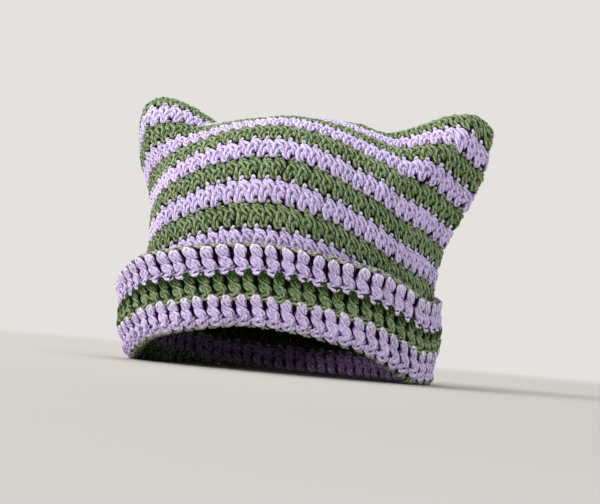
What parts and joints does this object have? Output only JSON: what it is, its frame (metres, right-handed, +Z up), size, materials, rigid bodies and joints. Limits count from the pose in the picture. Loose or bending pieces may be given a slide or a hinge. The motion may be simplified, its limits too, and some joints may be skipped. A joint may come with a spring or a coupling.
{
  "type": "crocheted beanie with cat ears",
  "caption": "Striped crocheted beanie with a straight top seam whose two corners stand up as ears, and a turned-up cuff.",
  "frame": {"origin": "under the middle of the hat, on the surface that it stands on", "axes": "+Z up, +X towards the hat's right ear in the picture, -Y towards the front"},
  "size_m": [0.248, 0.1896, 0.1829],
  "materials": {
    "yarn_lilac": "matte cotton yarn",
    "yarn_green": "matte cotton yarn"
  },
  "bodies": {
    "root": {"foundation_chain": "yarn_green", "round_01_lilac": "yarn_lilac", "round_02_green": "yarn_green", "round_03_lilac": "yarn_lilac", "round_04_green": "yarn_green", "round_05_lilac": "yarn_lilac", "round_06_green": "yarn_green", "round_07_lilac": "yarn_lilac", "round_08_green": "yarn_green", "round_09_lilac": "yarn_lilac", "round_10_green": "yarn_green", "round_11_lilac": "yarn_lilac", "round_12_green": "yarn_green", "round_13_lilac": "yarn_lilac", "round_14_green": "yarn_green", "round_15_lilac": "yarn_lilac", "round_16_green": "yarn_green", "top_seam": "yarn_green"}
  },
  "joints": []
}
